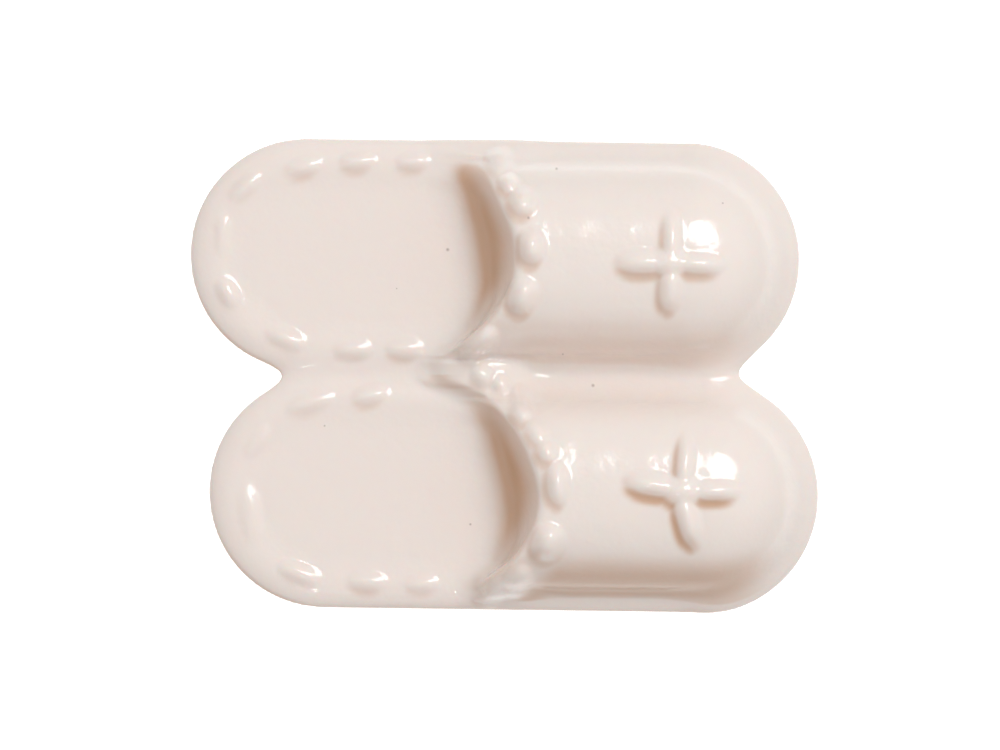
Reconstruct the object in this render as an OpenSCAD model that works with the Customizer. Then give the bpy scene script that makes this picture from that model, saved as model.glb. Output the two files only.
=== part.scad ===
// Moulded sewing button in the shape of a pair of slippers, with a wire shank at the back.
// Frame: +X towards the toes, +Y towards the left slipper, +Z out of the face. Millimetres.
// The origin is under the middle of the outline, at the tip of the shank loop.

/* [Pair] */
// Overall length of the pair, heel tip to toe tip
pair_length = 28.7; // [24:0.1:34]
// Distance between the two slippers' long axes
slipper_spacing = 10.8; // [10.7:0.05:10.9]
// How far the right slipper stands ahead of the left one
stagger = 1.0; // [0:0.1:1.5]

/* [Sole] */
// Radius of each sole's round ends, half its width
sole_radius = 5.3; // [5.25:0.01:5.35]
// Thickness of the plate that carries both slippers
plate_thickness = 1.7; // [1.5:0.1:2.2]
// Radius of the plate's upper edge
edge_round = 0.7; // [0.4:0.1:0.9]
// Depth of the dished insole below the rim
insole_depth = 0.3; // [0.2:0.05:0.6]
// Half width of the insole's flat floor
insole_floor_radius = 3.3; // [3:0.1:3.5]
// Width of the soft slope between floor and rim
insole_slope = 0.8; // [0.5:0.1:0.9]

/* [Vamp] */
// Half width of each toe cover at its foot
vamp_half_width = 4.45; // [4.2:0.05:4.5]
// Height of the toe cover above the plate
vamp_height = 3.6; // [3:0.1:4.2]
// Squareness of the toe cover's section, where 2 is an ellipse
vamp_squareness = 2.3; // [2:0.1:2.8]
// Place of the throat wall's foot along each slipper, from its middle
throat_foot_x = -0.75; // [-1:0.05:-0.5]
// Lean of the throat wall towards the toe, in degrees
throat_lean = 26; // [20:1:32]
// Radius that the throat wall is scooped to
throat_scoop = 10; // [8:0.5:14]

/* [Decoration] */
// Radius of each bead along the throat's rim
bead_radius = 0.62; // [0.5:0.02:0.7]
// Angle between the left rim's beads, in degrees
left_bead_pitch = 23; // [22.5:0.5:24]
// Angle between the right rim's beads, in degrees
right_bead_pitch = 16; // [14.5:0.5:16.5]
// Number of beads along the left rim
left_bead_count = 6; // [4:1:6]
// Number of beads along the right rim
right_bead_count = 8; // [6:1:8]
// Length of each arm of the toe's cross
cross_arm_length = 1.6; // [1.4:0.05:1.8]
// Width of each arm of the toe's cross
cross_arm_width = 0.9; // [0.8:0.05:1.1]
// Number of raised stitches around the left heel
left_stitch_count = 9; // [7:1:9]
// Number of raised stitches around the right heel
right_stitch_count = 7; // [6:1:8]
// Length of each stitch
stitch_length = 1.5; // [1.2:0.1:1.8]
// Width of each stitch
stitch_width = 0.55; // [0.4:0.05:0.7]

/* [Shank] */
// Diameter of the moulded boss that holds the wire
boss_diameter = 7; // [6.5:0.1:8]
// Height of the boss behind the plate
boss_height = 1.2; // [1:0.1:1.6]
// Diameter of the shank's wire
wire_diameter = 1.2; // [1:0.1:1.3]
// Width of the eye inside the wire loop
eye_width = 2.6; // [2.4:0.1:2.8]
// Height of the eye, from the loop's inner tip to the boss
eye_height = 2.3; // [1.8:0.1:3]

/* [Hidden] */
$fn = 48;

cream = "#efe4dc";
metal = "#c9a55a";
overlap = 5;

// Heights of the levels that the pieces meet at.
back_z = wire_diameter + eye_height + boss_height;
rim_z = back_z + plate_thickness;
floor_z = rim_z - insole_depth;

// Each slipper's straight stretch runs between its two end circles, this far from its middle.
end_x = (pair_length - stagger) / 2 - sole_radius;
half_spacing = slipper_spacing / 2;
half_stagger = stagger / 2;

// The web fills the gap between the slippers between a fillet at the heels and one at the toes.
heel_fillet = 0.53;
toe_fillet = 0.8;
fillet_bite = 0.03;
web_drop = 0.15;
lower_edge_chamfer = 0.3;

// The rim's beads lie on an arc around a point on each slipper's axis.
bead_arc_x = -4.25;
bead_arc_radius = 6;
left_first_bead_angle = 45;
right_first_bead_angle = 60;
bead_lift = 0.12;

// The cross's middle, and how far from it the middle of each arm lies.
cross_x = 8.1;
cross_reach = 1.45;

// Stitches follow a path at this distance inside the outline, on the rim's inner shoulder.
stitch_path_radius = 4.25;
left_stitch_run = 22.4;
right_stitch_run = 19.8;
first_stitch_x = -3.8;
stitch_lift = 0.08;

// The boss runs a little way into the plate, and the wire's ends are upset into heads inside it.
boss_seat = 0.5;
boss_chamfer = 0.3;
loop_radius = (eye_width + wire_diameter) / 2;
head_radius = wire_diameter / 2 + 0.35;
head_height = 0.4;
leg_depth = 1.3;

// Height of the toe cover's surface above the plate, at a distance from its spine.
function vamp_rise(r) =
    r >= vamp_half_width ? 0
    : vamp_height * pow(1 - pow(r / vamp_half_width, vamp_squareness), 1 / vamp_squareness);

// Distance from the toe cover's spine, which ends at the toe circle's centre.
function spine_distance(x, y) = norm([max(x - end_x, 0), y]);

function surface_z(x, y) = rim_z + vamp_rise(spine_distance(x, y));

// Middle of a fillet that touches both slippers' end circles: side is -1 at the heels, 1 at the toes.
function fillet_centre(side, radius) =
    let (
        half_gap = norm([half_stagger, half_spacing]),
        reach = sqrt(pow(sole_radius + radius - fillet_bite, 2) - pow(half_gap, 2))
    )
    [side * end_x, 0] + side * reach * [half_spacing, half_stagger] / half_gap;

// Puts a slipper's own frame in place: side is 1 for the left slipper, -1 for the right one.
module on_slipper(side) {
    translate([-side * half_stagger, side * half_spacing, 0]) children();
}

// A long shape with two round ends, made from a half section whose axis is the origin's upright.
module round_ended(from_x, to_x) {
    translate([from_x, 0, 0]) rotate([0, 0, 90]) rotate_extrude(angle = 180) children();
    translate([to_x, 0, 0]) rotate([0, 0, -90]) rotate_extrude(angle = 180) children();
    translate([from_x, 0, 0]) rotate([90, 0, 90]) linear_extrude(to_x - from_x) {
        children();
        mirror([1, 0, 0]) children();
    }
}

module sole_section() {
    rounding = [for (a = [0:22.5:90])
        [sole_radius - edge_round * (1 - cos(a)), rim_z - edge_round * (1 - sin(a))]];
    polygon(concat(
        [[0, back_z], [sole_radius - lower_edge_chamfer, back_z], [sole_radius, back_z + lower_edge_chamfer]],
        rounding,
        [[0, rim_z]]
    ));
}

module insole_section() {
    polygon([[0, floor_z], [insole_floor_radius, floor_z],
        [insole_floor_radius + insole_slope, rim_z], [insole_floor_radius + insole_slope, rim_z + overlap],
        [0, rim_z + overlap]]);
}

module vamp_section() {
    polygon(concat(
        [[0, rim_z]],
        [for (a = [0:5.625:90]) let (r = vamp_half_width * cos(a)) [r, rim_z + vamp_rise(r)]]
    ));
}

// Everything on the heel side of the throat wall, as a leaning drum.
module throat_space() {
    translate([throat_foot_x, 0, rim_z])
        rotate([0, throat_lean, 0])
            translate([-throat_scoop, 0, -overlap])
                cylinder(r = throat_scoop, h = 3 * overlap, $fn = 96);
}

module insole_recess() {
    intersection() {
        round_ended(-end_x, end_x) insole_section();
        throat_space();
    }
}

module boss_pocket() {
    translate([0, 0, back_z - overlap]) cylinder(d = boss_diameter, h = overlap + boss_seat);
}

// The strip that joins the slippers, whose corners lie on the end circles' centres.
module web() {
    left_heel = [-end_x - half_stagger, half_spacing];
    left_toe = [end_x - half_stagger, half_spacing];
    heel_notch = fillet_centre(-1, heel_fillet);
    toe_notch = fillet_centre(1, toe_fillet);
    translate([0, 0, back_z]) linear_extrude(plate_thickness - web_drop) difference() {
        polygon([left_heel, heel_notch, -left_toe, -left_heel, toe_notch, left_toe]);
        translate(heel_notch) circle(heel_fillet);
        translate(toe_notch) circle(toe_fillet);
    }
}

// Both soles and the web between them, before the insoles are dished.
module plate_blank() {
    web();
    for (side = [1, -1]) on_slipper(side) round_ended(-end_x, end_x) sole_section();
}

module vamp() {
    difference() {
        round_ended(-overlap, end_x) vamp_section();
        throat_space();
    }
}

// One rounded grain, lying along X, with its middle at the origin.
module grain(length, width) {
    rotate([0, 90, 0]) rotate_extrude()
        polygon([for (a = [-90:15:90]) [width / 2 * cos(a), length / 2 * sin(a)]]);
}

// One slipper's side of the plate. The two sides meet on the middle plane, y = 0.
module sole(side) {
    color(cream) difference() {
        intersection() {
            plate_blank();
            translate([-pair_length, side > 0 ? 0 : -pair_length, 0])
                cube([2 * pair_length, pair_length, 2 * overlap]);
        }
        on_slipper(side) insole_recess();
        boss_pocket();
    }
}

module slipper_vamp(side) {
    color(cream) on_slipper(side) vamp();
}

// Beads run over the toe cover's top from the corner of the throat that lies on the wearer's left.
module throat_beads(side) {
    count = side > 0 ? left_bead_count : right_bead_count;
    first_angle = side > 0 ? left_first_bead_angle : right_first_bead_angle;
    pitch = side > 0 ? left_bead_pitch : right_bead_pitch;
    color(cream) difference() {
        on_slipper(side) for (i = [0:count - 1]) {
            angle = first_angle - i * pitch;
            x = bead_arc_x + bead_arc_radius * cos(angle);
            y = bead_arc_radius * sin(angle);
            translate([x, y, surface_z(x, y) + bead_lift]) sphere(bead_radius);
        }
        on_slipper(side) vamp();
        plate_blank();
    }
}

// Five grains half sunk in the toe cover, each arm tilted to lie along its surface.
module toe_cross(side) {
    color(cream) difference() {
        on_slipper(side) {
            translate([cross_x, 0, surface_z(cross_x, 0)]) grain(cross_arm_width, cross_arm_width);
            for (turn = [0:90:270]) cross_arm(turn);
        }
        on_slipper(side) vamp();
    }
}

module cross_arm(turn) {
    outwards = [cos(turn), sin(turn)];
    middle = [cross_x, 0] + cross_reach * outwards;
    inner = middle - cross_arm_length / 2 * outwards;
    outer = middle + cross_arm_length / 2 * outwards;
    fall = atan((surface_z(inner.x, inner.y) - surface_z(outer.x, outer.y)) / cross_arm_length);
    translate([middle.x, middle.y, surface_z(middle.x, middle.y)])
        rotate([0, fall, turn]) grain(cross_arm_length, cross_arm_width);
}

// Stitches run from the outer throat corner back along the side, around the heel and up the inner side.
module heel_stitches(side) {
    count = side > 0 ? left_stitch_count : right_stitch_count;
    pitch = (side > 0 ? left_stitch_run : right_stitch_run) / (count - 1);
    straight = first_stitch_x + end_x;
    half_turn = PI * stitch_path_radius;
    color(cream) difference() {
        on_slipper(side) for (i = [0:count - 1]) {
            run = i * pitch;
            turn = 180 * max(0, min(1, (run - straight) / half_turn));
            slide = run < straight ? straight - run : max(0, run - straight - half_turn);
            translate([-end_x + slide - stitch_path_radius * sin(turn),
                side * stitch_path_radius * cos(turn), rim_z + stitch_lift])
                rotate([0, 0, side * turn]) grain(stitch_length, stitch_width);
        }
        sole(side);
    }
}

module shank_boss() {
    color(cream) difference() {
        rotate_extrude() polygon([[0, back_z - boss_height],
            [boss_diameter / 2 - boss_chamfer, back_z - boss_height],
            [boss_diameter / 2, back_z - boss_height + boss_chamfer],
            [boss_diameter / 2, back_z + boss_seat], [0, back_z + boss_seat]]);
        loop_wire();
    }
}

// A bent wire whose two legs stand in the boss.
module loop_wire() {
    bend_z = wire_diameter / 2 + loop_radius;
    top_z = back_z - boss_height + leg_depth;
    translate([0, 0, bend_z]) rotate([-90, 0, 0]) rotate_extrude(angle = 180)
        translate([loop_radius, 0]) circle(d = wire_diameter);
    for (end = [-1, 1]) translate([end * loop_radius, 0, 0]) {
        translate([0, 0, bend_z]) cylinder(d = wire_diameter, h = top_z - bend_z);
        translate([0, 0, top_z - head_height]) cylinder(r = head_radius, h = head_height);
    }
}

module shank_loop() {
    color(metal) loop_wire();
}

sole(1);  // left_sole
sole(-1);  // right_sole
slipper_vamp(1);  // left_vamp
slipper_vamp(-1);  // right_vamp
throat_beads(1);  // left_throat_beads
throat_beads(-1);  // right_throat_beads
toe_cross(1);  // left_toe_cross
toe_cross(-1);  // right_toe_cross
heel_stitches(1);  // left_heel_stitches
heel_stitches(-1);  // right_heel_stitches
shank_boss();
shank_loop();
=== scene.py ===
"""A novelty sewing button: a pair of slippers in one glossy cream moulding, on a bent wire shank.

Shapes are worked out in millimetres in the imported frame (+X to the toes, +Y to the left slipper,
+Z out of the face) and turned into metres when their mesh is made. A place in one slipper's own
axes is (u, v), from the slipper's middle. side is 1 for the left slipper and -1 for the right one.
"""

import math

import bpy
import numpy as np
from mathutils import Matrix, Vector


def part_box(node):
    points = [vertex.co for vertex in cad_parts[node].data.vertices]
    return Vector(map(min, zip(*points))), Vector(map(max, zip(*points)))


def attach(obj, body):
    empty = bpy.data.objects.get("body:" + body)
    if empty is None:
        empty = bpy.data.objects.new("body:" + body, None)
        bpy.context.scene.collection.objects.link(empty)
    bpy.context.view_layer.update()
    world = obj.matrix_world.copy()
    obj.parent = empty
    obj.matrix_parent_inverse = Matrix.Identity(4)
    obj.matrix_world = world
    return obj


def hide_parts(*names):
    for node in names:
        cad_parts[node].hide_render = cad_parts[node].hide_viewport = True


MM = 0.001

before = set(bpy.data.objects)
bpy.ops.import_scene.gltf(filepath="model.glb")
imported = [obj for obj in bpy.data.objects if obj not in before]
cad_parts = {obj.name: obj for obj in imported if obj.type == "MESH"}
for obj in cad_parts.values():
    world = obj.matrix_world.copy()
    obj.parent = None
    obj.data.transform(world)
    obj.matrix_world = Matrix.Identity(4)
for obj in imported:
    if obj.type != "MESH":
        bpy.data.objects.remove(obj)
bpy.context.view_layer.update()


def box_mm(node):
    """A CAD node's lowest and highest corners, in millimetres."""
    low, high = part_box(node)
    return np.array(low) / MM, np.array(high) / MM


# ---------------------------------------------------------------- sizes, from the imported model

SOLE_LOW, SOLE_HIGH = box_mm("left_sole")
VAMP_LOW, VAMP_HIGH = box_mm("left_vamp")
BOSS_LOW, BOSS_HIGH = box_mm("shank_boss")
LOOP_LOW, LOOP_HIGH = box_mm("shank_loop")

BACK_Z = SOLE_LOW[2]
RIM_Z = SOLE_HIGH[2]
AXIS_Y = (VAMP_LOW[1] + VAMP_HIGH[1]) / 2
SOLE_RADIUS = SOLE_HIGH[1] - AXIS_Y
LEFT_X = (SOLE_LOW[0] + SOLE_HIGH[0]) / 2
END_X = SOLE_HIGH[0] - LEFT_X - SOLE_RADIUS
VAMP_HALF_WIDTH = (VAMP_HIGH[1] - VAMP_LOW[1]) / 2
VAMP_HEIGHT = VAMP_HIGH[2] - RIM_Z
BOSS_RADIUS = (BOSS_HIGH[0] - BOSS_LOW[0]) / 2

# The heads at the wire's ends stand out from it by this margin, inside the boss.
HEAD_MARGIN = 0.35
WIRE_RADIUS = LOOP_HIGH[1] - HEAD_MARGIN
BEND_RADIUS = LOOP_HIGH[0] - HEAD_MARGIN - WIRE_RADIUS

# ---------------------------------------------------------------- sizes that only the looks need

GRID_STEP = 0.1

# The fillet in the two notches is wider at the toes by the change, and narrower at the heels.
NOTCH_FILLET = 1.75
NOTCH_FILLET_CHANGE = 0.35

# The rolled rim, the back's edge and the insoles' dish.
EDGE_REACH = 1.5
EDGE_DROP = 0.62
BACK_EDGE_RADIUS = 0.3
DISH_DEPTH = 0.14
DISH_FLOOR = 2.8
DISH_RIM = 4.5

# The toe covers' domes: each sinks into the plate, and its spine starts behind the throat.
VAMP_SQUARENESS = 2.3
VAMP_SINK = 1.0
VAMP_WIDER = 0.02
VAMP_INWARD = 0.1
VAMP_SPINE_START = -9
VAMP_BOTTOM = 0.8
CREST_X = 3.0
CREST_SLOPE = 0.01
CREST_ROUND = 1.0
FOOT_FILLET = 0.75
SOFT_FILLET = 1.6

# Beads, arms and stitches: how far their feet spread, and how soft their shoulders are.
LUMP_SPREAD = 1.32
LUMP_SOFTNESS = 2.1

# The skin's small unevenness. Each wave: its turns along u and v, and its start, in radians.
WAVES = [(1.7, 0.9, 0.6), (2.3, -1.4, 2.1), (0.8, 2.6, 4.0), (3.1, 0.5, 1.2)]
WAVE_HEIGHT = 0.003
SWELLING_PLACE = (2.35, 2.65)
SWELLING_SPREAD = 0.35
SWELLING_HEIGHT = {1: 0.02, -1: 0.06}

# The throats: where their rims' centre lies, and how their walls end, lean and are rounded.
THROAT_X = -4.25
THROAT_REACH = 5.6
WALL_ENDS = {1: (-4.5, 4.7), -1: (-4.5, 5.3)}
WALL_LEAN = 0.88
LEAST_SLOPE = 0.25
LEAST_WALL_HEIGHT = 0.5
LIP_RADIUS = 0.32

# The raised band along the rim: its height, and where past the rim it starts and stops fading.
BAND_HEIGHT = 0.04
BAND_FADE = (0.6, 2.2)

# The sill under the rim. Its ends are angles from the slipper's axis, and it sinks past each end.
SILL_ENDS = {1: (-58, 40), -1: (-40, 62)}
SILL_OUT = 0.55
SILL_UP = 0.05
SILL_RADIUS = 0.5
SILL_WIDTH = 1.3
SILL_FROM_EDGE = 0.6
SILL_BLEND = 0.6
INNER_FALL = 0.05
OUTER_FALL = 0.12

# The throat's rim: its radius about THROAT_X by the angle from the slipper's axis.
LEFT_RIM = [
    (-90, 4.85), (-60, 4.85), (-35, 4.92), (-13, 5.27), (5, 5.30), (28, 5.22), (48, 5.6),
    (90, 5.7),
]
RIGHT_RIM = [
    (-90, 5.3), (-54, 5.4), (-47, 5.1), (-40, 4.95), (-31, 5.14), (-15, 5.42), (0, 5.52),
    (15, 5.38), (35, 5.28), (58, 5.24), (82, 5.5),
]

# The foot of the throat's wall: how far forward it lies, by the distance from the slipper's axis.
LEFT_FOOT = [(-4.6, -1.9), (-3.2, -0.9), (-1.6, -0.38), (0.2, -0.58), (2.6, -1.2), (4.4, -1.8)]
RIGHT_FOOT = [
    (-4.6, -1.7), (-2.9, -0.38), (-1.6, -0.15), (0.2, -0.36), (2.0, -0.82), (4.2, -1.75),
    (5.4, -3.5),
]

# The lobe at each rim's outer end: its middle, half length, half width and height.
LOBES = {1: (0.05, 3.9, 1.45, 0.85, 0.85), -1: (-0.35, -4.05, 1.5, 0.8, 0.8)}
LOBE_FROM_EDGE = 0.7
LOBE_BLEND = 0.5

# How softly sills and lobes are cut off before the plate's edge.
CUT_BLEND = 0.4

# The bridge between the toe covers: its middle, then its half length, half width and height.
SADDLE_MIDDLE = (-0.9, 0.1)
SADDLE_SIZE = (1.6, 0.85, 0.65)

# The boss: its rounding, and the collar drawn up around each leg of the wire.
BOSS_ROUND = 0.28
COLLAR_RADIUS = 0.95

# How much thinner the wire is across its bend, as a share.
BEND_THINNING = 0.035

# The way to the main light, and the way along the floor to the plate's darkest edge.
BRIGHT_SIDE = (0.45, 0.52, 0.72)
DARK_SIDE = (-0.6, -0.8, 0)

# How far a crevice is looked for from each point, and the steps to the lumps that shade it.
CROWDING_REACHES = (0.25, 0.5, 1.0)
SHADOW_STEPS = ((0.26, 0.0), (0.0, 0.3), (0.3, 0.35), (0.1, 0.5))

# How strongly each kind of painted shade tints the plastic, from 0 to 1.
WALL_TINT = 0.85
LUMP_TINT = 0.4
TOE_LUMP_EXTRA_TINT = {1: 0.15, -1: 0.45}
FLANK_TINT = {1: 0.2, -1: 0.62}
EDGE_TINT = 0.5

# Colours, one of them the amber of painted shade, the gloss outside that shade, and its ripple's
# depth in millimetres.
CREAM = (0.88, 0.79, 0.742, 1)
PAINTED_SHADE_COLOUR = (0.63, 0.38, 0.24, 1)
SPECK_COLOUR = (0.16, 0.1, 0.08, 1)
SPECK_STRENGTH = 0.38
SPECK_FADE = 1.5
SPECULAR = 0.5
COAT = 0.3
RIPPLE_DEPTH = 0.028
BRASS = (0.83, 0.61, 0.3, 1)
TARNISH = (0.5, 0.33, 0.15, 1)

# Dark specks in the plastic: place and radius. Each fades out at SPECK_FADE times its radius.
SPECKS = [
    (-2.6, 5.7, 0.07), (1.05, 7.1, 0.06), (2.3, 9.4, 0.06), (4.1, -0.4, 0.07),
    (2.7, 1.0, 0.04), (-1.4, -6.8, 0.05), (-8.1, -2.4, 0.04), (-4.9, 3.9, 0.03), (9.8, 7.9, 0.04),
]


class Field:
    """A block of distances to a surface, negative inside it, that shapes are added to."""

    def __init__(self, low, high, step):
        self.low = np.array(low, float)
        self.step = step
        counts = np.ceil((np.array(high) - self.low) / step).astype(int) + 1
        self.axes = [self.low[i] + step * np.arange(counts[i]) for i in range(3)]
        self.values = np.full(counts, 9.0, np.float32)

    def window(self, low, high):
        """The slices and open coordinate grids of the part of the block between two corners."""
        cuts = [
            slice(*np.searchsorted(axis, (a, b)))
            for axis, a, b in zip(self.axes, low, high)
        ]
        places = [axis[cut] for axis, cut in zip(self.axes, cuts)]
        return tuple(cuts), np.meshgrid(*places, indexing="ij", sparse=True)

    def add(self, shape, low, high, blend):
        """Joins shape(x, y, z) on. The blend is the fillet's width, or a function that gives it."""
        cuts, grids = self.window(low, high)
        width = blend(*grids) if callable(blend) else blend
        self.values[cuts] = smooth_min(self.values[cuts], shape(*grids), width)


def smooth_min(a, b, blend):
    """The lower of two distances, with a fillet of about the blend's width where they meet."""
    lean = np.maximum(blend - np.abs(a - b), 0) / blend
    return np.minimum(a, b) - lean * lean * blend / 4


def smooth_max(a, b, blend):
    return -smooth_min(-a, -b, blend)


def smooth_step(low, high, value):
    t = np.clip((value - low) / (high - low), 0, 1)
    return t * t * (3 - 2 * t)


def curve(value, points):
    """A smooth curve through (place, level) points, level beyond its ends."""
    places, levels = np.array(points, float).T
    slopes = np.gradient(levels, places)
    slopes[[0, -1]] = 0
    index = np.clip(np.searchsorted(places, value) - 1, 0, len(places) - 2)
    width = places[index + 1] - places[index]
    t = np.clip((value - places[index]) / width, 0, 1)
    start = (1 - t) ** 2 * ((1 + 2 * t) * levels[index] + t * width * slopes[index])
    end = t**2 * ((3 - 2 * t) * levels[index + 1] + (t - 1) * width * slopes[index + 1])
    return start + end


# ---------------------------------------------------------------- the moulding's surfaces


def slipper_place(side):
    """Middle of a slipper."""
    return side * LEFT_X, side * AXIS_Y


def spine_distance(u, v, from_u=-END_X):
    """Distance in plan from the line between a slipper's two end circles' centres."""
    beyond = np.maximum(np.maximum(from_u - u, u - END_X), 0)
    return np.hypot(beyond, v)


def outline_distance(x, y):
    """Distance in plan from the pair's edge, with a fillet in each notch, wider at the toes."""
    edges = []
    for side in (1, -1):
        x0, y0 = slipper_place(side)
        edges.append(spine_distance(x - x0, y - y0) - SOLE_RADIUS)
    fillet = NOTCH_FILLET + NOTCH_FILLET_CHANGE * np.clip(x / 10, -1, 1)
    return smooth_min(edges[0], edges[1], fillet)


def dish_height(x, y):
    """How far the insoles lie below the rim."""
    height = 0
    for side in (1, -1):
        x0, y0 = slipper_place(side)
        spread = spine_distance(x - x0, y - y0)
        height = height - DISH_DEPTH * (1 - smooth_step(DISH_FLOOR, DISH_RIM, spread))
    return height


def plate(x, y, z):
    """Both soles: rounded rims, dished insoles and a flat back."""
    edge = outline_distance(x, y)
    rise = z - RIM_Z - dish_height(x, y)
    top = EDGE_DROP * (
        np.hypot(np.maximum(1 + edge / EDGE_REACH, 0), np.maximum(1 + rise / EDGE_DROP, 0)) - 1
    )
    back = np.hypot(
        np.maximum(edge + BACK_EDGE_RADIUS, 0), np.maximum(BACK_Z - z + BACK_EDGE_RADIUS, 0)
    ) - BACK_EDGE_RADIUS
    return np.maximum(top, back)


def crest_height(u):
    """Height of the toe cover's crest above the rim's plane."""
    past = np.clip(u, -2, END_X) - CREST_X
    return VAMP_HEIGHT - CREST_SLOPE * (np.hypot(past, CREST_ROUND) - CREST_ROUND)


def vamp_spread(u, v):
    """Distance in plan from a toe cover's spine, as a share of the dome's half width."""
    sunk = VAMP_SINK / (VAMP_HEIGHT + VAMP_SINK)
    at_rim = (1 - sunk**VAMP_SQUARENESS) ** (1 / VAMP_SQUARENESS)
    half_width = (VAMP_HALF_WIDTH + VAMP_WIDER) / at_rim
    return spine_distance(u, v, VAMP_SPINE_START) / half_width


def vamp_rise(u, v):
    """Height of the toe cover's skin above the rim's plane, zero beyond its foot."""
    share = np.clip(vamp_spread(u, v), 0, 1) ** VAMP_SQUARENESS
    rise = (crest_height(u) + VAMP_SINK) * (1 - share) ** (1 / VAMP_SQUARENESS) - VAMP_SINK
    return np.maximum(rise, 0)


def handwork(u, v, side):
    """Small unevenness of the skin, as the master of the mould was shaped by hand."""
    waves = sum(np.sin(along * u + across * v + start) for along, across, start in WAVES)
    swell_u, swell_v = SWELLING_PLACE
    swelling = np.exp(-((u - swell_u) ** 2 + (v - swell_v) ** 2) / SWELLING_SPREAD)
    return WAVE_HEIGHT * waves + SWELLING_HEIGHT[side] * swelling


def rim_radius(angle, side):
    """Radius of the throat's rim around its own centre, by the angle from the slipper's axis."""
    return curve(angle, LEFT_RIM if side > 0 else RIGHT_RIM)


def throat_wall(u, v, rise, side):
    """How far a point lies on the heel side of the wall that closes the throat."""
    rim_v = np.clip(v, *WALL_ENDS[side])
    angle = np.degrees(np.arcsin(rim_v / THROAT_REACH))
    rim_u = THROAT_X + np.sqrt(np.maximum(rim_radius(angle, side) ** 2 - rim_v**2, 0.3))
    foot_u = curve(rim_v, LEFT_FOOT if side > 0 else RIGHT_FOOT)
    foot_u = np.minimum(foot_u, rim_u - LEAST_SLOPE)
    top = np.maximum(vamp_rise(rim_u, rim_v), LEAST_WALL_HEIGHT)
    wall_u = foot_u + (rim_u - foot_u) * np.clip(rise / top, -0.2, 1.3)
    return WALL_LEAN * (wall_u - u)


def vamp(u, v, rise, edge, side):
    """A toe cover: a long dome, a band, sill and lobe along its rim, and the throat wall."""
    lift = np.maximum(rise + VAMP_SINK, 0) / (crest_height(u) + VAMP_SINK)
    squareness = VAMP_SQUARENESS
    around = vamp_spread(u, v + side * VAMP_INWARD) ** squareness
    dome = ((around + lift**squareness) ** (1 / squareness) - 1) * (VAMP_HEIGHT + VAMP_SINK)
    dome = np.maximum(dome, -VAMP_BOTTOM - rise)

    reach = np.hypot(u - THROAT_X, v)
    angle = np.degrees(np.arctan2(v, u - THROAT_X))
    off_rim = reach - rim_radius(angle, side)
    dome = dome - BAND_HEIGHT * (1 - smooth_step(*BAND_FADE, off_rim)) - handwork(u, v, side)

    first, last = SILL_ENDS[side]
    before, beyond = np.maximum(first - angle, 0), np.maximum(angle - last, 0)
    inner, outer = (before, beyond) if side > 0 else (beyond, before)
    past_end = INNER_FALL * inner + OUTER_FALL * outer
    sill_out, sill_up = (off_rim - SILL_OUT) / SILL_WIDTH, rise - SILL_UP
    sill = np.sqrt(sill_out**2 + sill_up**2 + past_end**2) - SILL_RADIUS
    sill = smooth_max(sill, edge + SILL_FROM_EDGE, CUT_BLEND)
    whole = smooth_min(dome, sill, SILL_BLEND)

    lobe_u, lobe_v, length, width, height = LOBES[side]
    lobe = np.sqrt(
        ((u - lobe_u) / length) ** 2 + ((v - lobe_v) / width) ** 2 + (rise / height) ** 2
    )
    lobe = smooth_max(0.7 * (lobe - 1), edge + LOBE_FROM_EDGE, CUT_BLEND)
    whole = smooth_min(whole, lobe, LOBE_BLEND)
    return smooth_max(whole, throat_wall(u, v, rise, side), LIP_RADIUS)


def saddle(x, y, z):
    """The raised bridge between the two toe covers, where the throats' rims meet."""
    rise = z - RIM_Z
    (middle_x, middle_y), (length, width, height) = SADDLE_MIDDLE, SADDLE_SIZE
    whole = np.sqrt(
        ((x - middle_x) / length) ** 2 + ((y - middle_y) / width) ** 2 + (rise / height) ** 2
    )
    whole = whole * height - height
    for side in (1, -1):
        x0, y0 = slipper_place(side)
        whole = smooth_max(whole, throat_wall(x - x0, y - y0, rise, side), LIP_RADIUS)
    return whole


def foot_fillet(u, v):
    """Width of the fillet at a toe cover's foot: crispest on the side away from the light."""
    in_throat = (1 - smooth_step(-0.6, 1.6, u)) * (1 - smooth_step(3.4, 4.8, np.abs(v)))
    lit = np.maximum(0.5 * smooth_step(-2.5, 1.5, v), smooth_step(6.5, 10.5, u))
    return FOOT_FILLET + (SOFT_FILLET - FOOT_FILLET) * np.maximum(in_throat, lit)


def lump_height(x, y, lumps):
    """Height that lumps add to the skin.

    Each lump is a place, half length, half width, height, and heading in degrees from +X.
    """
    total = 0
    for px, py, half_length, half_width, height, heading in lumps:
        turn = math.radians(heading)
        along = (x - px) * math.cos(turn) + (y - py) * math.sin(turn)
        across = (y - py) * math.cos(turn) - (x - px) * math.sin(turn)
        share = np.maximum(1 - np.abs(along / half_length) ** 2.6 - (across / half_width) ** 2, 0)
        total = total + (height * share**LUMP_SOFTNESS) ** 4
    return total**0.25


# ---------------------------------------------------------------- decoration

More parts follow.
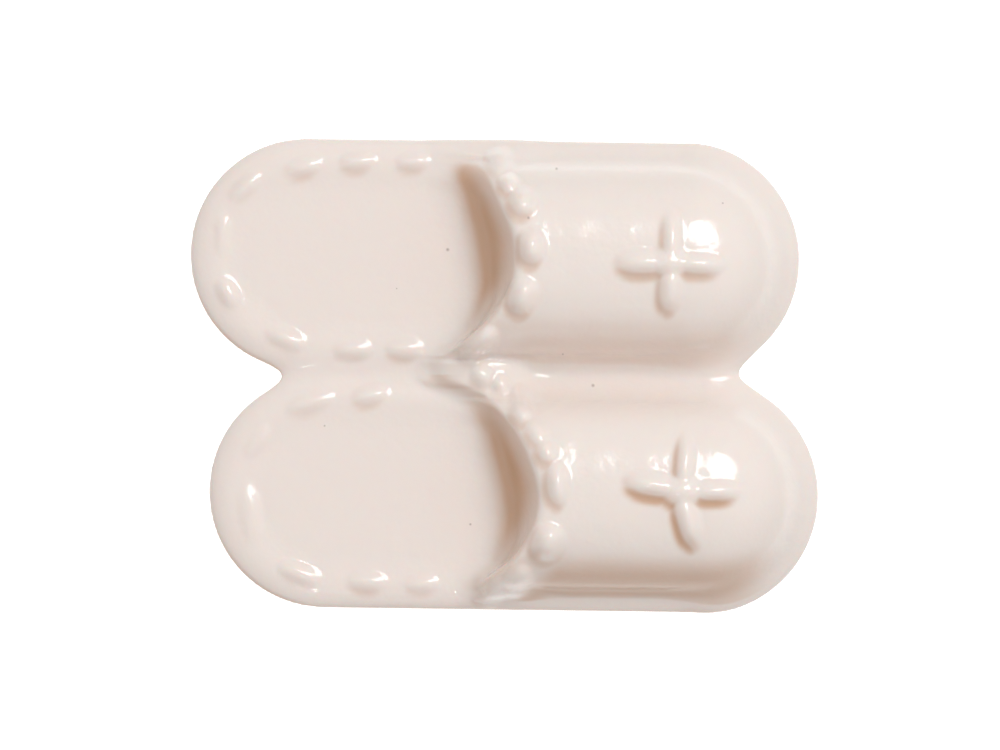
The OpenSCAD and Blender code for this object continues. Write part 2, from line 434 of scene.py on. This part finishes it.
# Each bead: angle along the rim, distance from the rim's centre, half length, half width, height.
LEFT_BEADS = [
    (44, 6.22, 0.60, 0.62, 0.22),
    (33.7, 5.88, 0.48, 0.42, 0.30),
    (24, 6.02, 0.62, 0.58, 0.42),
    (3.7, 5.96, 0.72, 0.58, 0.52),
    (-18.2, 5.87, 0.78, 0.64, 0.52),
    (-48, 5.44, 0.95, 0.50, 0.42),
]
RIGHT_BEADS = [
    (62.4, 6.07, 0.48, 0.46, 0.24),
    (53.6, 6.21, 0.46, 0.40, 0.22),
    (45, 6.40, 0.44, 0.40, 0.20),
    (39.5, 5.99, 0.50, 0.48, 0.34),
    (28.6, 6.05, 0.66, 0.46, 0.26),
    (19.6, 6.10, 0.52, 0.46, 0.34),
    (5, 6.27, 0.90, 0.50, 0.44),
    (-19.7, 6.22, 0.80, 0.72, 0.58),
    (-40.5, 5.95, 0.75, 0.60, 0.24),
    (-53, 5.55, 0.85, 0.60, 0.16),
]

# Each arm of the toe crosses: place of its middle, half length, half width, height and heading.
LEFT_CROSS = [
    (6.72, -0.24, 1.10, 0.54, 0.38, 2),
    (7.92, -0.22, 0.80, 0.66, 0.38, 0),
    (9.15, -0.28, 1.12, 0.46, 0.32, -2),
    (7.98, 0.75, 1.22, 0.44, 0.30, 90),
    (7.96, -1.42, 0.98, 0.54, 0.38, 88),
]
RIGHT_CROSS = [
    (6.26, 0.58, 1.12, 0.54, 0.38, -8),
    (7.60, 0.34, 0.86, 0.70, 0.38, 0),
    (9.05, 0.34, 1.12, 0.46, 0.32, 2),
    (7.72, 1.60, 1.22, 0.42, 0.30, 85),
    (7.88, -0.98, 1.22, 0.54, 0.40, 106),
]

# Each heel stitch, in the same terms.
LEFT_STITCHES = [
    (-3.73, 4.30, 0.70, 0.38, 0.19, 4),
    (-6.24, 4.27, 0.74, 0.40, 0.20, 6),
    (-8.70, 3.97, 0.78, 0.40, 0.19, 14),
    (-11.34, 3.05, 0.80, 0.40, 0.19, 42),
    (-12.34, 0.84, 0.85, 0.36, 0.11, 88),
    (-12.05, -1.80, 0.66, 0.46, 0.22, 122),
    (-9.40, -3.82, 0.86, 0.46, 0.22, 158),
    (-6.36, -4.30, 0.78, 0.44, 0.20, 184),
    (-4.00, -4.24, 0.76, 0.44, 0.20, 182),
]
RIGHT_STITCHES = [
    (-4.07, -4.12, 0.74, 0.38, 0.16, 2),
    (-6.57, -4.05, 0.82, 0.42, 0.20, -2),
    (-9.65, -3.70, 0.92, 0.44, 0.22, -20),
    (-11.90, -1.00, 1.30, 0.52, 0.16, 100),
    (-11.62, 2.28, 0.80, 0.36, 0.11, 55),
    (-9.28, 4.05, 1.00, 0.40, 0.19, 18),
    (-6.55, 4.43, 0.76, 0.40, 0.20, 13),
]


def all_lumps():
    """Every bead, arm and stitch in the shared frame, in lump_height's terms."""
    lumps = []
    for side, beads, cross, stitches in (
        (1, LEFT_BEADS, LEFT_CROSS, LEFT_STITCHES),
        (-1, RIGHT_BEADS, RIGHT_CROSS, RIGHT_STITCHES),
    ):
        x0, y0 = slipper_place(side)
        own = list(cross + stitches)
        for angle, reach, *sizes in beads:
            turn = math.radians(angle)
            u, v = THROAT_X + reach * math.cos(turn), reach * math.sin(turn)
            own.append((u, v, *sizes, angle + 90))
        lumps += [
            (x0 + u, y0 + v, LUMP_SPREAD * half_length, LUMP_SPREAD * half_width, height, heading)
            for u, v, half_length, half_width, height, heading in own
        ]
    return lumps


def boss(x, y, z):
    """The round boss that holds the wire, with a small collar drawn up around each leg."""
    out = np.hypot(x, y) - BOSS_RADIUS + BOSS_ROUND
    low = BOSS_LOW[2] + BOSS_ROUND - z
    rounded = np.hypot(np.maximum(out, 0), np.maximum(low, 0)) - BOSS_ROUND
    rounded = rounded + np.minimum(np.maximum(out, low), 0)
    from_leg = np.hypot(np.abs(x) - BEND_RADIUS, y)
    collar = np.hypot(from_leg / COLLAR_RADIUS, (z - BOSS_LOW[2]) / BOSS_ROUND)
    collar = collar * BOSS_ROUND - BOSS_ROUND
    return np.maximum(smooth_min(rounded, collar, 0.15), z - BACK_Z - 0.6)


def moulding_field():
    """The whole moulding: plate, toe covers, bridge, lumps and boss, each in a window around it."""
    margin = 0.5
    low = (SOLE_LOW[0] - margin, -SOLE_HIGH[1] - margin, BOSS_LOW[2] - margin)
    high = (-SOLE_LOW[0] + margin, SOLE_HIGH[1] + margin, VAMP_HIGH[2] + 1.2)
    field = Field(low, high, GRID_STEP)
    field.add(plate, low, high, blend=0.01)
    for side in (1, -1):
        x0, y0 = slipper_place(side)
        field.add(
            lambda x, y, z: vamp(x - x0, y - y0, z - RIM_Z, outline_distance(x, y), side),
            (x0 - 5, y0 - 6, RIM_Z - 0.9),
            (x0 + END_X + 5.5, y0 + 6, high[2]),
            blend=lambda x, y, z: foot_fillet(x - x0, y - y0),
        )
    field.add(saddle, (-4, -2.5, RIM_Z - 0.9), (3.5, 2.5, RIM_Z + 1.5), blend=0.5)
    cuts, (x, y, _) = field.window((low[0], low[1], RIM_Z - 0.5), high)
    field.values[cuts] -= lump_height(x, y, all_lumps())
    field.add(boss, (-5, -5, low[2]), (5, 5, BACK_Z + 0.7), blend=0.3)
    return field


# ---------------------------------------------------------------- from a field to a mesh


def sample(values, spots):
    """Values between the block's points, for spots given in steps of the grid."""
    base = np.clip(np.floor(spots).astype(int), 0, np.array(values.shape) - 2)
    share = spots - base
    total = np.zeros(len(spots))
    for i in (0, 1):
        for j in (0, 1):
            for k in (0, 1):
                weight = (
                    (share[:, 0] if i else 1 - share[:, 0])
                    * (share[:, 1] if j else 1 - share[:, 1])
                    * (share[:, 2] if k else 1 - share[:, 2])
                )
                total += weight * values[base[:, 0] + i, base[:, 1] + j, base[:, 2] + k]
    return total


def rim_place(points):
    """Each point's side, its (u, v) on its slipper, and its distance past the throat's rim."""
    side = np.where(points[:, 1] > 0, 1, -1)
    u, v = points[:, 0] - side * LEFT_X, points[:, 1] - side * AXIS_Y
    angle = np.degrees(np.arctan2(v, u - THROAT_X))
    rim = np.where(side > 0, rim_radius(angle, 1), rim_radius(angle, -1))
    return side, u, v, np.hypot(u - THROAT_X, v) - rim


def by_side(side, pair):
    """Each point's own value, out of a pair kept by side."""
    return np.where(side > 0, pair[1], pair[-1])


def crevice_shade(field, points, normals, v, off_rim, foot):
    """Shade where the surface closes in on a point from the light's side."""
    bright_side = np.array(BRIGHT_SIDE)
    way = 0.5 * normals + bright_side
    way /= np.linalg.norm(way, axis=1)[:, None]
    crowding = 0
    for reach in CROWDING_REACHES:
        spots = (points + way * reach - field.low) / field.step
        spots = np.clip(spots, 0, np.array(field.values.shape) - 1.001)
        clearance = np.clip(sample(field.values, spots) / reach, -0.5, 1)
        crowding = crowding + (1 - clearance) / len(CROWDING_REACHES)
    turned_away = 1 - smooth_step(0.35, 0.72, normals @ bright_side)

    # Crevices down on the plate count for less, and so do those at the throat's lip and end.
    raised = 0.25 + 0.75 * smooth_step(RIM_Z - 0.1, RIM_Z + 0.4, points[:, 2])
    shade = smooth_step(0.25, 0.8, crowding) * turned_away * raised * (1 - foot)
    shade *= 1 - 0.45 * smooth_step(-1.0, -0.2, off_rim) * (off_rim < 0.3)
    return shade * (1 - 0.6 * smooth_step(3.2, 4.2, -v))


def wall_shade(points, normals, v, off_rim):
    """Shade on the throat's wall, lighter near its lip and at its end away from the light."""
    shade = smooth_step(0.2, 0.6, -normals[:, 0]) * smooth_step(RIM_Z, RIM_Z + 0.6, points[:, 2])
    shade *= (1 - 0.5 * smooth_step(-1.1, -0.3, off_rim)) * (1 - smooth_step(-0.3, 0.0, off_rim))
    shade *= 1 - 0.8 * smooth_step(2.4, 3.8, -v)
    return WALL_TINT * shade


def lump_shade(points, side, u, foot):
    """Shade on and beside the lumps, on the side away from the light."""
    lumps = all_lumps()
    x, y = points[:, 0], points[:, 1]
    own_height = lump_height(x, y, lumps)
    step_up = 0
    for dx, dy in SHADOW_STEPS:
        step_up = np.maximum(step_up, lump_height(x + dx, y + dy, lumps) - own_height)
    shade = smooth_step(0.04, 0.3, step_up) * (1 - 0.7 * smooth_step(0.04, 0.2, own_height))
    shade *= LUMP_TINT + by_side(side, TOE_LUMP_EXTRA_TINT) * smooth_step(4, 5, u)
    shade *= (points[:, 2] > RIM_Z - 0.4) * (1 - 0.8 * foot)
    return shade


def flank_shade(points, normals, side, off_rim):
    """Shade on the sides of the toe covers that face away from the light."""
    shade = smooth_step(0.45, 0.85, -normals[:, 1])
    shade *= smooth_step(-0.06, 0.06, points[:, 2] - RIM_Z)
    return shade * (smooth_step(1.0, 2.2, off_rim) * by_side(side, FLANK_TINT))


def edge_shade(points, normals):
    """Shade on the plate's edge where it faces away from the light."""
    away = normals @ np.array(DARK_SIDE)
    return EDGE_TINT * smooth_step(0.5, 0.95, away) * (points[:, 2] < RIM_Z)


def painted_shade_amount(field, points, normals):
    """From 0 to 1, how much amber shade is painted at each point; the gloss is dulled as much."""
    side, u, v, off_rim = rim_place(points)

    # The toe covers' feet, whose soft fillets aren't crevices.
    foot = 0.97 * smooth_step(3.0, 3.8, spine_distance(u, v)) * smooth_step(0.05, 0.5, off_rim)
    return np.maximum.reduce([
        crevice_shade(field, points, normals, v, off_rim, foot),
        wall_shade(points, normals, v, off_rim),
        lump_shade(points, side, u, foot),
        flank_shade(points, normals, side, off_rim),
        edge_shade(points, normals),
    ])


def settle(values, spots, corner):
    """Each spot moved onto the zero surface within its own cell, and its unit normal there."""
    slopes = np.gradient(values)
    for _ in range(3):
        slope = np.stack([sample(s, spots) for s in slopes], 1)
        length = np.maximum((slope**2).sum(1), 1e-9)
        spots -= slope * (sample(values, spots) / length)[:, None]
        spots = np.clip(spots, corner, corner + 1)
    slope = np.stack([sample(s, spots) for s in slopes], 1)
    return spots, slope / np.maximum(np.linalg.norm(slope, axis=1), 1e-9)[:, None]


def surface_net(field):
    """Vertices in millimetres, quads, and unit normals of the field's zero surface."""
    values = field.values
    inside = values < 0
    cells = np.array(values.shape) - 1
    total = np.zeros((3, cells.prod()))
    count = np.zeros(cells.prod())
    quads = []
    for axis in range(3):
        here = [slice(None)] * 3
        there = [slice(None)] * 3
        here[axis], there[axis] = slice(None, -1), slice(1, None)
        crossing = np.argwhere(inside[tuple(here)] != inside[tuple(there)])
        ahead = crossing.copy()
        ahead[:, axis] += 1
        a, b = values[tuple(crossing.T)], values[tuple(ahead.T)]
        spot = crossing.astype(float)
        spot[:, axis] += a / (a - b)
        side_one, side_two = (axis + 1) % 3, (axis + 2) % 3
        ring = []
        for back_one, back_two in ((1, 1), (0, 1), (0, 0), (1, 0)):
            cell = crossing.copy()
            cell[:, side_one] -= back_one
            cell[:, side_two] -= back_two
            flat = np.ravel_multi_index(tuple(cell.T), cells)
            for i in range(3):
                total[i] += np.bincount(flat, spot[:, i], len(count))
            count += np.bincount(flat, minlength=len(count))
            ring.append(flat)
        ring = np.stack(ring, 1)
        leaving = a < 0
        quads.append(np.where(leaving[:, None], ring, ring[:, ::-1]))
    used = np.flatnonzero(count)
    number = np.full(len(count), -1)
    number[used] = np.arange(len(used))
    spots = (total[:, used] / count[used]).T

    corner = np.stack(np.unravel_index(used, cells), 1)
    spots, normals = settle(values, spots, corner)
    return field.low + spots * field.step, number[np.concatenate(quads)], normals


def mesh_object(name, points_mm, faces, normals=None):
    """A smooth mesh in the scene, from millimetres."""
    mesh = bpy.data.meshes.new(name)
    mesh.vertices.add(len(points_mm))
    mesh.vertices.foreach_set("co", (np.asarray(points_mm) * MM).ravel())
    mesh.loops.add(faces.size)
    mesh.loops.foreach_set("vertex_index", faces.ravel())
    mesh.polygons.add(len(faces))
    mesh.polygons.foreach_set("loop_start", np.arange(0, faces.size, faces.shape[1]))
    mesh.update(calc_edges=True)
    mesh.polygons.foreach_set("use_smooth", np.ones(len(faces), bool))
    if normals is not None:
        mesh.normals_split_custom_set_from_vertices(normals)
    piece = bpy.data.objects.new(name, mesh)
    bpy.context.scene.collection.objects.link(piece)
    return piece


# ---------------------------------------------------------------- the moulding


def make_moulding():
    field = moulding_field()
    points, quads, normals = surface_net(field)
    piece = mesh_object("slipper_moulding", points, quads, normals)
    # The amount of amber shade painted at each point, from 0 to 1, kept as a point attribute.
    painted_shade = painted_shade_amount(field, points, normals)
    piece.data.attributes.new("painted_shade", "FLOAT", "POINT").data.foreach_set("value", painted_shade)
    return piece


def new_material(name):
    """A material, with its nodes, its links and its shader."""
    material = bpy.data.materials.new(name)
    material.use_nodes = True
    tree = material.node_tree
    return material, tree.nodes, tree.links, tree.nodes["Principled BSDF"]


def mix_colour(nodes, links, share, first, second):
    """A colour from first to second as share goes from 0 to 1. Each is a colour or an output."""
    mix = nodes.new("ShaderNodeMix")
    mix.data_type = "RGBA"
    links.new(share, mix.inputs[0])
    for socket, value in ((mix.inputs[6], first), (mix.inputs[7], second)):
        if isinstance(value, tuple):
            socket.default_value = value
        else:
            links.new(value, socket)
    return mix.outputs[2]


def math_node(nodes, links, operation, first, second):
    """A Math node whose inputs are numbers or other nodes' outputs."""
    node = nodes.new("ShaderNodeMath")
    node.operation = operation
    for socket, value in zip(node.inputs, (first, second)):
        if isinstance(value, (int, float)):
            socket.default_value = value
        else:
            links.new(value, socket)
    return node.outputs["Value"]


def speck_pattern(nodes, links, place):
    """Above 0 only inside the few dark specks that are caught in the face's plastic."""
    flat = nodes.new("ShaderNodeVectorMath")
    flat.operation = "MULTIPLY"
    flat.inputs[1].default_value = (1, 1, 0)
    links.new(place, flat.inputs[0])
    split = nodes.new("ShaderNodeSeparateXYZ")
    links.new(place, split.inputs["Vector"])
    total = math_node(nodes, links, "SUBTRACT", 0, 1)
    for x, y, radius in SPECKS:
        away = nodes.new("ShaderNodeVectorMath")
        away.operation = "DISTANCE"
        links.new(flat.outputs["Vector"], away.inputs[0])
        away.inputs[1].default_value = (x * MM, y * MM, 0)
        share = math_node(nodes, links, "DIVIDE", away.outputs["Value"], radius * MM)
        near = math_node(nodes, links, "SUBTRACT", SPECK_FADE, share)
        total = math_node(nodes, links, "MAXIMUM", total, near)
    in_face = math_node(nodes, links, "GREATER_THAN", split.outputs["Z"], (RIM_Z - 0.5) * MM)
    return math_node(nodes, links, "MULTIPLY", total, in_face)


def cream_material():
    """Thick cream plastic, with amber shade painted and the gloss dulled in recesses, plus specks
    and a faint ripple.
    """
    material, nodes, links, shader = new_material("cream_moulding")
    place = nodes.new("ShaderNodeTexCoord").outputs["Object"]
    # The attribute holds painted shade: the cream is mixed towards amber where shade is painted.
    painted_shade = nodes.new("ShaderNodeAttribute")
    painted_shade.attribute_name = "painted_shade"
    cream_with_painted_shade = mix_colour(nodes, links, painted_shade.outputs["Fac"], CREAM, PAINTED_SHADE_COLOUR)
    specks = speck_pattern(nodes, links, place)
    specks = math_node(nodes, links, "MULTIPLY", specks, SPECK_STRENGTH)
    colour = mix_colour(nodes, links, specks, cream_with_painted_shade, SPECK_COLOUR)
    links.new(colour, shader.inputs["Base Color"])

    ripple = nodes.new("ShaderNodeTexNoise")
    ripple.inputs["Scale"].default_value = 1400
    ripple.inputs["Detail"].default_value = 2
    links.new(place, ripple.inputs["Vector"])
    bump = nodes.new("ShaderNodeBump")
    bump.inputs["Distance"].default_value = RIPPLE_DEPTH * MM
    links.new(ripple.outputs["Fac"], bump.inputs["Height"])
    links.new(bump.outputs["Normal"], shader.inputs["Normal"])
    links.new(bump.outputs["Normal"], shader.inputs["Coat Normal"])

    # The gloss is dulled where shade is painted.
    gloss = math_node(nodes, links, "SUBTRACT", 1, painted_shade.outputs["Fac"])
    for name, most in (("Specular IOR Level", SPECULAR), ("Coat Weight", COAT)):
        links.new(math_node(nodes, links, "MULTIPLY", gloss, most), shader.inputs[name])
    shader.inputs["Roughness"].default_value = 0.16
    shader.inputs["Subsurface Weight"].default_value = 0.35
    shader.inputs["Subsurface Radius"].default_value = (1.0, 0.45, 0.3)
    shader.inputs["Subsurface Scale"].default_value = 0.8 * MM
    shader.inputs["Coat Roughness"].default_value = 0.05
    return material


# ---------------------------------------------------------------- the shank


def wire_path():
    """Middle line of the bent wire, from one leg's top in the boss to the other's."""
    centre_z = LOOP_LOW[2] + WIRE_RADIUS + BEND_RADIUS
    top_z = BACK_Z + 0.05
    path = [(-BEND_RADIUS, 0, z) for z in np.linspace(top_z, centre_z, 24, endpoint=False)]
    for turn in np.linspace(0, math.pi, 73):
        path.append((-BEND_RADIUS * math.cos(turn), 0, centre_z - BEND_RADIUS * math.sin(turn)))
    path += [(BEND_RADIUS, 0, z) for z in np.linspace(centre_z, top_z, 25)[1:]]
    return np.array(path)


def make_wire():
    """The wire as a swept circle, a little flattened around its bend."""
    path = wire_path()
    sides = 40
    across = np.array([0.0, 1.0, 0.0])
    rings = []
    for i, point in enumerate(path):
        along = path[min(i + 1, len(path) - 1)] - path[max(i - 1, 0)]
        along /= np.linalg.norm(along)
        out = np.cross(across, along)
        thinned = 1 - BEND_THINNING * abs(along[0])
        for k in range(sides):
            turn = 2 * math.pi * k / sides
            ring = math.cos(turn) * across + thinned * math.sin(turn) * out
            rings.append(point + WIRE_RADIUS * ring)
    faces = []
    for i in range(len(path) - 1):
        for k in range(sides):
            n = (k + 1) % sides
            faces.append((i * sides + k, i * sides + n, (i + 1) * sides + n, (i + 1) * sides + k))
    return mesh_object("shank_wire", np.array(rings), np.array(faces))


def brass_material():
    """Drawn brass wire, a little tarnished in patches."""
    material, nodes, links, shader = new_material("shank_brass")
    place = nodes.new("ShaderNodeTexCoord").outputs["Object"]
    patches = nodes.new("ShaderNodeTexNoise")
    patches.inputs["Scale"].default_value = 700
    patches.inputs["Detail"].default_value = 4
    links.new(place, patches.inputs["Vector"])
    colour = mix_colour(nodes, links, patches.outputs["Fac"], BRASS, TARNISH)
    links.new(colour, shader.inputs["Base Color"])
    dullness = nodes.new("ShaderNodeMapRange")
    dullness.inputs["To Min"].default_value = 0.16
    dullness.inputs["To Max"].default_value = 0.42
    links.new(patches.outputs["Fac"], dullness.inputs["Value"])
    links.new(dullness.outputs["Result"], shader.inputs["Roughness"])
    shader.inputs["Metallic"].default_value = 1
    return material


# ---------------------------------------------------------------- floor, light and camera

LAMP_DISTANCE = 300
LAMP_COLOUR = (0.96, 0.99, 1.0)
SKY_COLOUR = (1, 0.985, 0.965, 1)
SKY_BELOW = 1.4
SKY_ABOVE = 0.6

# The view from straight in front of the face: its width, its middle, and its roll in degrees.
SHOWN_WIDTH = 45.54
VIEW_MIDDLE = (-0.14, 0.02)
VIEW_ROLL = 0.76


def make_floor():
    """A pale floor that glows a little, kept out of the part's reflections."""
    half = 400
    corners = [(-half, -half, 0), (half, -half, 0), (half, half, 0), (-half, half, 0)]
    floor = mesh_object("floor", np.array(corners, float), np.array([(0, 1, 2, 3)]))
    material, _, _, shader = new_material("pale_floor")
    shader.inputs["Base Color"].default_value = (0.9, 0.9, 0.9, 1)
    shader.inputs["Roughness"].default_value = 0.9
    shader.inputs["Emission Color"].default_value = (1, 1, 1, 1)
    shader.inputs["Emission Strength"].default_value = 0.8
    floor.data.materials.append(material)
    floor.visible_diffuse = False
    floor.visible_glossy = False


def add_softbox(name, azimuth, tilt, size, power):
    """A round soft light: its bearing from +X, its tilt from straight above, size and watts."""
    light = bpy.data.lights.new(name, "AREA")
    light.shape = "DISK"
    light.size = size * MM
    light.energy = power
    light.color = LAMP_COLOUR
    lamp = bpy.data.objects.new(name, light)
    bearing, lean = math.radians(azimuth), math.radians(tilt)
    out, up = math.sin(lean), math.cos(lean)
    way = Vector((math.cos(bearing) * out, math.sin(bearing) * out, up))
    lamp.location = Vector((0, 0, RIM_Z * MM)) + way * LAMP_DISTANCE * MM
    lamp.rotation_euler = (-way).to_track_quat("-Z", "Y").to_euler()
    bpy.context.scene.collection.objects.link(lamp)


def make_lights():
    add_softbox("key_softbox", azimuth=52, tilt=33, size=150, power=0.385)
    add_softbox("toe_softbox", azimuth=0, tilt=50, size=320, power=0.04)
    add_softbox("small_front_light", azimuth=255, tilt=30, size=12, power=0.01)
    world = bpy.data.worlds.new("studio")
    world.use_nodes = True
    nodes, links = world.node_tree.nodes, world.node_tree.links
    direction = nodes.new("ShaderNodeTexCoord")
    split = nodes.new("ShaderNodeSeparateXYZ")
    level = nodes.new("ShaderNodeMapRange")
    level.inputs["From Min"].default_value = -0.7
    level.inputs["From Max"].default_value = -0.2
    level.inputs["To Min"].default_value = SKY_BELOW
    level.inputs["To Max"].default_value = SKY_ABOVE
    links.new(direction.outputs["Generated"], split.inputs["Vector"])
    links.new(split.outputs["Z"], level.inputs["Value"])
    background = nodes["Background"]
    background.inputs["Color"].default_value = SKY_COLOUR
    links.new(level.outputs["Result"], background.inputs["Strength"])
    bpy.context.scene.world = world


def make_camera():
    camera = bpy.data.cameras.new("camera")
    camera.lens = 200
    camera.sensor_width = 36
    camera.clip_start = 0.005
    distance = SHOWN_WIDTH * camera.lens / camera.sensor_width
    eye = bpy.data.objects.new("camera", camera)
    eye.location = Vector((*VIEW_MIDDLE, RIM_Z + distance)) * MM
    eye.rotation_euler = (0, 0, math.radians(VIEW_ROLL))
    bpy.context.scene.collection.objects.link(eye)
    bpy.context.scene.camera = eye


def main():
    moulding = make_moulding()
    moulding.data.materials.append(cream_material())
    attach(moulding, "root")
    moulded = [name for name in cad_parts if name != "shank_loop"]
    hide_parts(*moulded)

    wire = make_wire()
    wire.data.materials.append(brass_material())
    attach(wire, "root")
    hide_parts("shank_loop")

    make_floor()
    make_lights()
    make_camera()
    bpy.context.scene.view_settings.view_transform = "Standard"


main()
